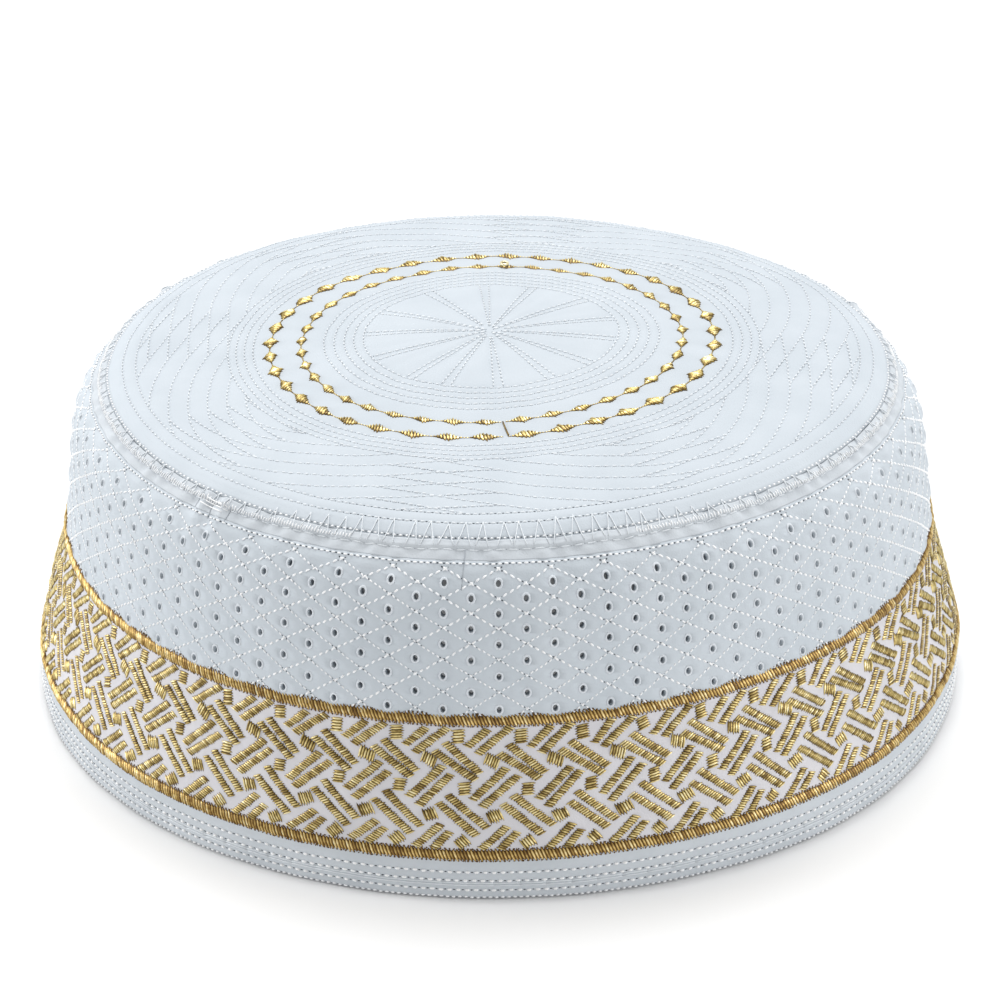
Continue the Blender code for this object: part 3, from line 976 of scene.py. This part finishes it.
# %% Sew the seam
SEAM_LOOK = (1.20, 0.48, 0.42, 0.36, 0.74, 0.62)
FOLD_LOOK = (2.40, 0.86, 0.28, 0.26, 0.30, 0.22)
TOP_LOOK = (1.20, 0.66, 0.40, 0.42, 0.62, 0.50)
edge_line = ring_line(run_at_radius(76.2 * MM))
fold_line = ring_line(FOLD_RUN + 0.35 * MM)
top_line = ring_line(TOP_STITCH_RUN + 0.2 * MM)
seam_sewing = [lay_copies("crown_seam_overlock", loose_thread(), tent_threads(), SOFT_THREAD,
                          over_seam),
               lay_copies("crown_seam_binding", bead(), tick_threads(), THREAD, over_seam)]
seam_sewing += rows_of_stitches("crown_edge", [edge_line], SEAM_LOOK, THREAD, HOLE_SHADE, crown_relief,
                                opened=pulled_open)
seam_sewing += rows_of_stitches("crown_fold", [fold_line], FOLD_LOOK, SOFT_THREAD, SOFT_HOLE_SHADE, seam_relief)
panel_sewing = rows_of_stitches("panel_top", [top_line], TOP_LOOK, THREAD, HOLE_SHADE, tucked)

# %% [markdown]
# ## The side panel
# The panel is quilted in a net of diamonds, and each diamond is pierced by an eyelet whose edge is
# bound with thread. The cloth swells into a soft pillow between the sewn lines, and the rows lie a
# little closer together near the seam, where the cloth was eased in. The eyelets could be cut with
# a Boolean, or be dark spots of colour. Spots would not let the light through, and a Boolean with
# several hundred cutters is slow and leaves long thin faces. So the corners of the grid that lie
# round each middle are drawn on to the eyelet's edge, and the middle corner is taken out.

# %% Plan the net of diamonds
EYELET_COLUMNS = 52
EYELET_ROWS = 9
EYELET_TURN = math.radians(-89.35)
FIRST_ROW_RUN = SEAM_RUN + 8.22 * MM
ROW_SPACING = 2.68 * MM
ROW_EASING = 0.047 * MM
EYELET_WIDTH = 1.05 * MM
EYELET_HEIGHT = 1.60 * MM
COLUMN_PARTS = 8
ROW_PARTS = 5
PANEL_ROW_NUMBERS = np.arange(-8, 44) / ROW_PARTS
# In mm: how high the pillows stand, and how deep the sewn lines are pressed in.
PILLOW_HEIGHT = 0.46
NET_DEPTH = 0.14


def row_run(row):
    """Run of a row of eyelets, whole or part."""
    return FIRST_ROW_RUN + row * (ROW_SPACING + ROW_EASING * row)


def row_at(run):
    """Number of the row at a run."""
    numbers = np.linspace(-2.0, 10.0, 241)
    return np.interp(run, row_run(numbers), numbers)


def panel_relief(turn, run):
    """Pillows between the sewn lines, which start below the panel's top row of stitches."""
    across = (turn - EYELET_TURN) * EYELET_COLUMNS / math.tau
    down = row_at(run) / 2
    pillow = np.abs(np.cos(math.pi * (across + down)) * np.cos(math.pi * (across - down)))
    started = np.clip((run - TOP_STITCH_RUN - 0.3 * MM) / (1.2 * MM), 0.0, 1.0)
    return started * MM * (PILLOW_HEIGHT * pillow ** 0.7 - NET_DEPTH) + tucked(turn, run)


def eyelet_middles():
    """Turn and run of every eyelet."""
    return [(EYELET_TURN + (column + 0.5 * (row % 2)) * math.tau / EYELET_COLUMNS, row_run(row))
            for row in range(EYELET_ROWS) for column in range(EYELET_COLUMNS)]


print("eyelets:", len(eyelet_middles()))


# %% Quilt and pierce the side panel
# Steps across and down to the eight corners round a middle.
AROUND = ((-1, -1), (0, -1), (1, -1), (1, 0), (1, 1), (0, 1), (-1, 1), (-1, 0))


def open_eyelets(turn, run):
    """Slide the grid until each eyelet has a corner at its middle, then draw those round it to its edge."""
    part = math.tau / (EYELET_COLUMNS * COLUMN_PARTS)
    turn = turn + (EYELET_TURN + math.pi) % part
    order = np.lexsort((turn, np.round(run, 8))).reshape(len(PANEL_ROW_NUMBERS), -1)
    turns_of, runs_of = turn[order[0]], run[order[:, 0]]
    new_turn, new_run, middles = turn.copy(), run.copy(), []
    for middle_turn, middle_run in eyelet_middles():
        wrapped = (middle_turn - turns_of[0]) % math.tau + turns_of[0]
        i = int(np.argmin(np.abs(turns_of - wrapped)))
        j = int(np.argmin(np.abs(runs_of - middle_run)))
        if i in (0, len(turns_of) - 1):
            continue
        middles.append(int(order[j, i]))
        for di, dj in AROUND:
            way = math.atan2(dj, di)
            spot = order[j + dj, i + di]
            new_turn[spot] = turns_of[i] + EYELET_WIDTH / 2 * math.cos(way) / radius_at(middle_run)
            new_run[spot] = middle_run + EYELET_HEIGHT / 2 * math.sin(way)
    return new_turn, new_run, middles


panel = cloth_sheet("side_panel_quilt", row_run(PANEL_ROW_NUMBERS), EYELET_COLUMNS * COLUMN_PARTS,
                    panel_relief, CLOTH_THICKNESS, COTTON, ["side_panel"], open_eyelets)

# %% [markdown]
# ## The net of stitches, the rims and the tucks
# One family of lines in the net has long, bright stitches and the other has short ones, and they
# change places at the front. A texture could show this, but stitches catch the light from the side,
# so they are beads like all the others. Each leans a little off its line, as a machine's stitches
# do. A rim could be a torus, but a torus of few faces has its corners where it likes. A small
# circle spun into a ring has them where they are wanted, and is then copied into every eyelet.

# %% Sew the net and bind the eyelets
LONG_LOOK = (1.42, 0.74, 0.44, 0.52, 0.68, 0.54)
SHORT_LOOK = (1.02, 0.70, 0.36, 0.42, 0.58, 0.44)
LEAN = 0.22
RIM_ROOM = 0.68 * MM
RIM_HEIGHT = 1.1 * MM

# Columns: name, way the lines fall (1) or rise (-1) to the right, side of the cap, look.
NET = (
    ("panel_falling_right", 1, 1, LONG_LOOK),
    ("panel_rising_left", -1, -1, LONG_LOOK),
    ("panel_falling_left", 1, -1, SHORT_LOOK),
    ("panel_rising_right", -1, 1, SHORT_LOOK),
)


def net_lines(way, side):
    """Sewn lines that go one way, on the cap's right (side 1) or left (side -1)."""
    down = np.linspace(-0.56, (EYELET_ROWS - 0.6) / 2, 40)
    lines = [(EYELET_TURN + (way * down + line + 0.5) * math.tau / EYELET_COLUMNS, row_run(2 * down))
             for line in range(EYELET_COLUMNS)]
    return [(turn, run) for turn, run in lines if side * math.cos(turn[20]) > 0]


rim_places = [(turn, run, -0.05 * MM, 0.0, EYELET_WIDTH + RIM_ROOM, EYELET_HEIGHT + RIM_ROOM, RIM_HEIGHT)
              for turn, run in eyelet_middles()]
for name, way, side, look in NET:
    panel_sewing += rows_of_stitches(name, net_lines(way, side), look, THREAD, HOLE_SHADE, panel_relief,
                                     way * LEAN)
panel_sewing.append(lay_copies("panel_eyelet_rims", bound_rim(), rim_places, RIM,
                               panel_relief))

# %% Catch the tucks
SHARP_TUCK_TURN = math.radians(TUCKS[0][0])

# Columns of these three: turn, run, lift, heading, length, width, height.
SHARP_TUCK = [(SHARP_TUCK_TURN + 0.7 * MM / CROWN_RADIUS, SEAM_RUN + 5.6 * MM, 0.02 * MM,
               math.pi / 2 + 0.06, 7.8 * MM, 0.20 * MM, 0.14 * MM)]
WIDE_TUCKS = [(math.radians(turn), SEAM_RUN + 3.2 * MM, 0.02 * MM, math.pi / 2 + lean, 3.6 * MM,
               0.30 * MM, 0.20 * MM)
              for turn, lean in ((-128.7, 0.10), (-131.9, -0.06), (-134.9, -0.12))]
TACKS = [(math.radians(-131.7), SEAM_RUN + down * MM, 0.10 * MM, 0.05, length * MM, 0.22 * MM, 0.24 * MM)
         for down, length in ((1.5, 6.4), (2.1, 7.4), (2.8, 5.6))]
# Painted shade: thin grey rods along the folds of the tucks stand for the shade in the creases; the tacks are
# real thread.
panel_sewing.append(lay_copies("panel_tuck_painted_shade", loose_thread(), SHARP_TUCK, TUCK_SHADE, panel_relief))
seam_sewing.append(lay_copies("seam_tuck_painted_shades", loose_thread(), WIDE_TUCKS, TUCK_SHADE, seam_relief))
seam_sewing.append(lay_copies("seam_tuck_tacks", loose_thread(), TACKS, THREAD, seam_relief))

# %% [markdown]
# ## The gold borders
# Two borders of gold satin stitch close the band, above and below. Each is a cord of slanting threads
# laid side by side right round the cap. A spun tube with a twisted texture would come close, but it
# would shine like a tube. So each border is one satin strip that closes on itself, and a row of
# needle holes along both its edges, their shade painted as dark dots, sets it into the cloth, as the
# needle does.

# %% Lay the band cloth and the borders
BORDER_PITCH = 0.66 * MM
BORDER_WIDTH = 2.8 * MM
BORDER_HOLE_PITCH = 0.86 * MM
BORDER_HEIGHT = 0.62 * MM
BORDER_SLANT = 0.4
BAND_START = float(row_run(PANEL_ROW_NUMBERS[-1])) + CLOTH_GAP
UPPER_SATIN_RUN = UPPER_BORDER_RUN - 0.4 * MM
LOWER_SATIN_RUN = LOWER_BORDER_RUN + 0.3 * MM


def band_relief(turn, run):
    """Slight puckers of the cloth between the gold bars."""
    return 0.06 * MM * np.sin(turn * 94.0) * np.sin(run / (1.9 * MM))


def border_holes(name, run):
    """Two rows of needle holes, one along each edge of a border, their shade painted as dark cones."""
    count = round(math.tau * float(radius_at(run)) / BORDER_HOLE_PITCH)
    turn = np.tile(np.linspace(0.0, math.tau, count, endpoint=False), 2)
    edge = np.repeat([-1.0, 1.0], count) * (BORDER_WIDTH / 2 - 0.22 * MM)
    return needle_holes(name, (turn, run + edge, np.zeros_like(turn)), 0.62, 0.60, GOLD_HOLE_SHADE)


def border_satin(name, run, replaced):
    """One gold border at a run."""
    strip = satin_ring(run, BORDER_WIDTH, BORDER_PITCH, BORDER_HEIGHT, BORDER_SLANT)
    return satin_mesh(name, [strip], BORDER_GOLD, [replaced])


band = cloth_sheet("band_cloth", np.linspace(BAND_START, LOWER_BORDER_RUN, 17), 360, band_relief,
                   CLOTH_THICKNESS, BAND_COTTON, ["band_panel"])
upper = border_satin("upper_border_satin", UPPER_SATIN_RUN, "upper_border")
lower = border_satin("lower_border_satin", LOWER_SATIN_RUN, "lower_border")
border_pricks = [border_holes("upper_border_needle_holes", UPPER_SATIN_RUN),
                 border_holes("lower_border_needle_holes", LOWER_SATIN_RUN)]

# %% [markdown]
# ## The woven band
# Between the borders, pairs of gold bars cross over and under each other like the splints of a
# basket. Satin bars don't really pass under one another: each one simply stops where the next
# begins, and the eye weaves them. They could be drawn one by one round the whole cap, but the
# machine that sews such a band works from a small chart too. So one repeat is charted, in
# shares of its own width and depth, and set round the cap again and again. A little unsteadiness
# at the ends of every bar keeps the repeats from looking stamped.

# %% Chart one repeat of the band
BAND_REPEATS = 47
BAND_TURN = math.radians(-86.7)
BAR_PITCH = 0.52 * MM
BAR_WIDTH = 2.02 * MM
BAR_HEIGHT = 0.44 * MM
BAR_SLANT = 0.45
BLOCK_WIDTH = 3.0 * MM
BLOCK_SLANT = 0.1
UNSTEADY_HAND = 0.13 * MM

# Columns: start across, start down, end across, end down, as shares of the repeat and of the band.
RISING_BARS = (
    (0.144, 0.196, 0.493, 0.035),
    (0.310, 0.238, 0.831, 0.035),
    (-0.756, 0.587, -0.222, 0.342),
    (-0.632, 0.645, -0.064, 0.401),
    (-0.640, 0.970, -0.230, 0.781),
    (-0.345, 0.970, -0.083, 0.837),
)
FALLING_BARS = (
    (-0.222, 0.162, 0.380, 0.387),
    (-0.374, 0.223, 0.283, 0.437),
    (-0.144, 0.543, 0.457, 0.797),
    (-0.305, 0.616, 0.310, 0.861),
)
BLOCKS = (
    (0.000, 0.048, 0.000, 0.160),
    (-0.575, 0.265, -0.330, 0.312),
    (0.097, 0.448, 0.097, 0.553),
    (-0.532, 0.730, -0.300, 0.688),
    (0.000, 0.938, 0.166, 0.882),
)
print("bars round the band:", BAND_REPEATS * (len(RISING_BARS) + len(FALLING_BARS) + len(BLOCKS)))


# %% Sew the band
def band_strips(chart, width, slant):
    """Every bar of a chart, set round the whole band."""
    deep = LOWER_BORDER_RUN - UPPER_BORDER_RUN
    step = math.tau / BAND_REPEATS
    strips = []
    for repeat in range(BAND_REPEATS):
        middle = BAND_TURN + repeat * step
        for across_a, down_a, across_b, down_b in chart:
            unsteady = CHANCE.normal(0.0, UNSTEADY_HAND, 4)
            start = (middle + across_a * step + unsteady[0] / HEM_RADIUS,
                     UPPER_BORDER_RUN + down_a * deep + unsteady[1])
            end = (middle + across_b * step + unsteady[2] / HEM_RADIUS,
                   UPPER_BORDER_RUN + down_b * deep + unsteady[3])
            strips.append(satin_strip(start, end, width, BAR_PITCH, BAR_HEIGHT, slant))
    return strips


rising = satin_mesh("band_bars_rising", band_strips(RISING_BARS, BAR_WIDTH, BAR_SLANT), GOLD)
falling = satin_mesh("band_bars_falling", band_strips(FALLING_BARS, BAR_WIDTH, -BAR_SLANT), GOLD)
blocks = satin_mesh("band_blocks", band_strips(BLOCKS, BLOCK_WIDTH, BLOCK_SLANT), GOLD)

# %% [markdown]
# ## The hem
# The hem is folded twice and held by four rows of running stitch, with two thin cords pressed into
# it between the second row and the third. It is what the cap stands on. The fold could be made
# by bending a strip round on itself, but only its outer face and its thickness ever show, so the
# hem is a thicker sheet like the others, with a groove under each row. The stitches are longest
# and fattest here, and finest in the row along the very edge.

# %% Fold and sew the hem
HEM_ROWS = [run_at_height(height * MM) for height in (5.9, 4.1, 2.0)]
HEM_EDGE_ROW = run_at_height(0.5 * MM)
CORD_RUNS = [run_at_height(height * MM) for height in (3.62, 3.12)]
CORD_PARTS = 120
HEM_TURN_UNDER = 0.42 * MM
HEM_LOOK = (1.65, 0.58, 0.62, 0.64, 0.76, 0.42)
HEM_EDGE_LOOK = (1.15, 0.62, 0.42, 0.46, 0.30, 0.24)
CORD_WIDTH = 0.30 * MM
CORD_OVERLAP = 1.04


def hem_relief(turn, run):
    """A shallow groove under each row of stitches, and slight unevenness between them."""
    lift = 0.03 * MM * np.sin(turn * 120.0) * np.sin(run / (0.7 * MM))
    for row in HEM_ROWS:
        lift = lift - 0.12 * MM * groove(run - row, 0.45 * MM)
    return lift


def pressed_cords():
    """Two thin cords round the hem, each laid as short lengths end to end."""
    places = []
    for run in CORD_RUNS:
        length = math.tau * float(radius_at(run)) / CORD_PARTS
        places += [((part + 0.5) * math.tau / CORD_PARTS, run, 0.03 * MM, 0.0, CORD_OVERLAP * length,
                    CORD_WIDTH, CORD_WIDTH)
                   for part in range(CORD_PARTS)]
    return places


HEM_CLOTH_ROWS = np.linspace(LOWER_BORDER_RUN + CLOTH_GAP, FULL_RUN - HEM_TURN_UNDER, 45)
hem = cloth_sheet("hem_fold", HEM_CLOTH_ROWS, 320, hem_relief, HEM_THICKNESS, TRIM, ["hem"])
hem_lines = [ring_line(run) for run in HEM_ROWS]
hem_sewing = rows_of_stitches("hem", hem_lines, HEM_LOOK, THREAD, HOLE_SHADE, hem_relief)
hem_sewing += rows_of_stitches("hem_edge", [ring_line(HEM_EDGE_ROW)], HEM_EDGE_LOOK, THREAD, HOLE_SHADE,
                               hem_relief)
hem_sewing.append(lay_copies("hem_cords", loose_thread(), pressed_cords(), SOFT_THREAD,
                             hem_relief))

# %% [markdown]
# ## A thread jump and a loose loop
# Where the chains close, one thread crosses from the inner ring to the outer one, and at the back
# of the inner ring a small loop stands up from the stitches. Such slips of the hand are what makes
# a sewn thing look sewn. They could be curves, but the two shapes at hand, the loose thread and
# the round rim, already have the right form. Neither has a shine of its own, so it is given here:
# painted light, low on the jump and high on the loop.

# %% Lay the jump and the loop
JUMP_TURN = math.radians(-85.7)
LOOP_TURN = math.radians(85.3)
JUMP_THREAD = 0.32 * MM
JUMP_LENGTH = 5.6 * MM
jump_run = float(run_at_radius((INNER_CHAIN_RADIUS + OUTER_CHAIN_RADIUS) / 2)) + 0.6 * MM
jump_place = (JUMP_TURN, jump_run, 0.2 * MM, math.radians(83.0), JUMP_LENGTH, JUMP_THREAD, JUMP_THREAD)
jump = lay_copies("gold_jump_thread", loose_thread(), [jump_place], GOLD)
loop_run = float(run_at_radius(INNER_CHAIN_RADIUS)) - 0.8 * MM
loop_place = (LOOP_TURN, loop_run, 0.8 * MM, 0.0, 2.0 * MM, 2.6 * MM, 2.4 * MM)
loop = lay_copies("gold_thread_loop", bound_rim(), [loop_place], GOLD)
# The shine is painted light: dark gold on the jump, a painted highlight on the loop.
for thread, shine in ((jump, 0.25), (loop, 0.9)):
    layer = thread.data.attributes.new("shine", "FLOAT", "POINT")
    layer.data.foreach_set("value", np.full(len(layer.data), shine))

# %% [markdown]
# ## What is cloth
# A tailor cuts each ring of the cap from flat cloth.


# %% [markdown]
# ## Floor and light
# White things are hard to light: too much light from the front burns out every groove. The cap
# stands on a white table in even white light from all round, which could be all there is, but the
# quilting would then vanish. One large lamp high behind it and a low one on either side graze the
# cloth, so that each groove has a bright and a dark side. Large lamps keep the shadows soft. The
# cloth is opaque here, so a faint lamp inside stands for the light that comes in through it.

# %% Set the stage
def soft_light(name, place, size, power):
    """A large soft lamp that looks at the cap."""
    lamp = bpy.data.lights.new(name, "AREA")
    lamp.shape = "SQUARE"
    lamp.size = size
    lamp.energy = power
    holder = bpy.data.objects.new(name, lamp)
    holder.location = place
    holder.rotation_euler = (Vector((0, 0, 0.04)) - Vector(place)).to_track_quat("-Z", "Y").to_euler()
    bpy.context.scene.collection.objects.link(holder)


def light_inside(place, size, power):
    """A faint lamp under the crown, which stands for the daylight that comes in through the thin cloth."""
    lamp = bpy.data.lights.new("light_through_cloth", "POINT")
    lamp.shadow_soft_size = size
    lamp.energy = power
    holder = bpy.data.objects.new("light_through_cloth", lamp)
    holder.location = place
    holder.visible_camera = False
    bpy.context.scene.collection.objects.link(holder)


def white_world(strength):
    """Even white light from all round."""
    world = bpy.data.worlds.new("white_room")
    world.use_nodes = True
    world.node_tree.nodes["Background"].inputs["Color"].default_value = (1.0, 1.0, 1.0, 1.0)
    world.node_tree.nodes["Background"].inputs["Strength"].default_value = strength
    bpy.context.scene.world = world


def pale_floor():
    """A wide white table top."""
    bm = bmesh.new()
    bmesh.ops.create_grid(bm, x_segments=1, y_segments=1, size=6.0)
    mesh = bpy.data.meshes.new("table_top")
    bm.to_mesh(mesh)
    bm.free()
    material = bpy.data.materials.new("white_table")
    material.use_nodes = True
    shader = material.node_tree.nodes["Principled BSDF"]
    shader.inputs["Base Color"].default_value = (0.89, 0.89, 0.89, 1.0)
    shader.inputs["Roughness"].default_value = 0.7
    mesh.materials.append(material)
    floor = bpy.data.objects.new("table_top", mesh)
    bpy.context.scene.collection.objects.link(floor)
    return floor


floor = pale_floor()
white_world(0.55)
soft_light("top_lamp", (0.0, 0.80, 2.40), 1.6, 53.0)
soft_light("left_lamp", (-1.60, 0.08, 0.30), 0.9, 13.6)
soft_light("right_lamp", (1.42, -0.50, 0.30), 0.9, 9.0)
light_inside((0.0, 0.0, 0.034), 0.012, 0.009)

# %% [markdown]
# ## Camera
# The camera looks down on the cap from a low angle, as someone standing in front of the table
# would. A wide lens close by would bend the round crown, so a long lens looks from further off.

# %% Place the camera
LOOK_DOWN = math.radians(26.89)
DISTANCE = 0.757
AIM_HEIGHT = 0.0362
camera_data = bpy.data.cameras.new("camera")
camera_data.lens = 134.46
camera_data.sensor_width = 36.0
camera_data.clip_start = 0.01
camera = bpy.data.objects.new("camera", camera_data)
camera.location = (0.0, SLIDE_BACK - DISTANCE * math.cos(LOOK_DOWN),
                   AIM_HEIGHT + DISTANCE * math.sin(LOOK_DOWN))
camera.rotation_euler = (math.pi / 2 - LOOK_DOWN, 0.0, 0.0)
bpy.context.scene.collection.objects.link(camera)
bpy.context.scene.camera = camera
bpy.context.scene.view_settings.view_transform = "Standard"
